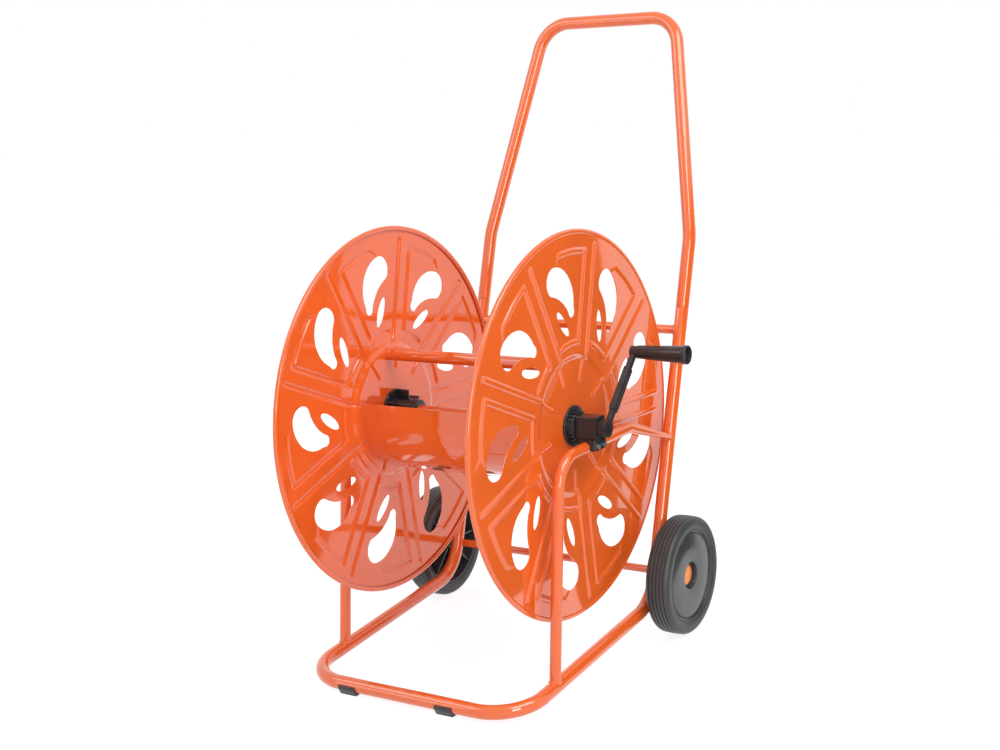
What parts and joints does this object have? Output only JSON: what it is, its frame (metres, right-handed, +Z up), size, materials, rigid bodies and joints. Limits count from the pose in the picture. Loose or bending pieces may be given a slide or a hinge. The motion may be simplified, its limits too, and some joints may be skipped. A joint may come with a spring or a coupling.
{
  "type": "garden hose reel cart",
  "caption": "Wheeled hose reel cart: bent tube frame with a tall handle, open drum between pressed discs with comma cut-outs, side crank, solid tyres and clip feet.",
  "frame": {"origin": "on the floor, at the middle of the bounding box", "axes": "+X across the cart to the crank side, +Y to the rear where the handle and wheels are, +Z up"},
  "size_m": [0.5192, 0.7054, 0.9132],
  "materials": {
    "orange_paint": "gloss powder coat",
    "black_plastic": "semi-matte moulded",
    "black_tyre": "satin",
    "orange_plastic": "gloss moulded",
    "zinc_steel": "zinc plated",
    "black_steel": "black oxide"
  },
  "bodies": {
    "frame": {"base_frame": "orange_paint", "handle_bow": "orange_paint", "cross_bar": "orange_paint", "leg_left": "orange_paint", "leg_right": "orange_paint", "axle": "orange_paint", "axle_washers": "zinc_steel", "axle_cap_left": "orange_plastic", "axle_cap_right": "orange_plastic", "foot_left": "black_plastic", "foot_right": "black_plastic", "bearing_block_left": "black_plastic", "bearing_block_right": "black_plastic", "saddle_screws": "zinc_steel"},
    "reel": {"disc_left": "orange_paint", "disc_right": "orange_paint", "drum_trough": "orange_paint", "tie_tube_top": "orange_paint", "tie_tube_rear": "orange_paint", "spindle": "orange_paint", "hub_inner_left": "black_plastic", "hub_inner_right": "black_plastic", "hub_outer_left": "black_plastic", "hub_outer_right": "black_plastic", "hub_screws": "zinc_steel", "crank_arm": "black_plastic", "crank_screw": "black_steel", "grip_pin": "zinc_steel"},
    "grip": {"grip": "black_plastic"},
    "wheel_left": {"wheel_left": "black_plastic", "tyre_left": "black_tyre"},
    "wheel_right": {"wheel_right": "black_plastic", "tyre_right": "black_tyre"}
  },
  "joints": [
    {"name": "reel_spin", "type": "hinge", "parent": "frame", "child": "reel", "pos_m": [-0.02615, -0.08268, 0.353], "axis": [1, 0, 0], "continuous": true},
    {"name": "grip_spin", "type": "hinge", "parent": "reel", "child": "grip", "pos_m": [0.22065, 0.00629, 0.44306], "axis": [1, 0, 0], "continuous": true},
    {"name": "wheel_left_spin", "type": "hinge", "parent": "frame", "child": "wheel_left", "pos_m": [-0.24115, 0.11172, 0.088], "axis": [1, 0, 0], "continuous": true},
    {"name": "wheel_right_spin", "type": "hinge", "parent": "frame", "child": "wheel_right", "pos_m": [0.18885, 0.11172, 0.088], "axis": [1, 0, 0], "continuous": true}
  ]
}
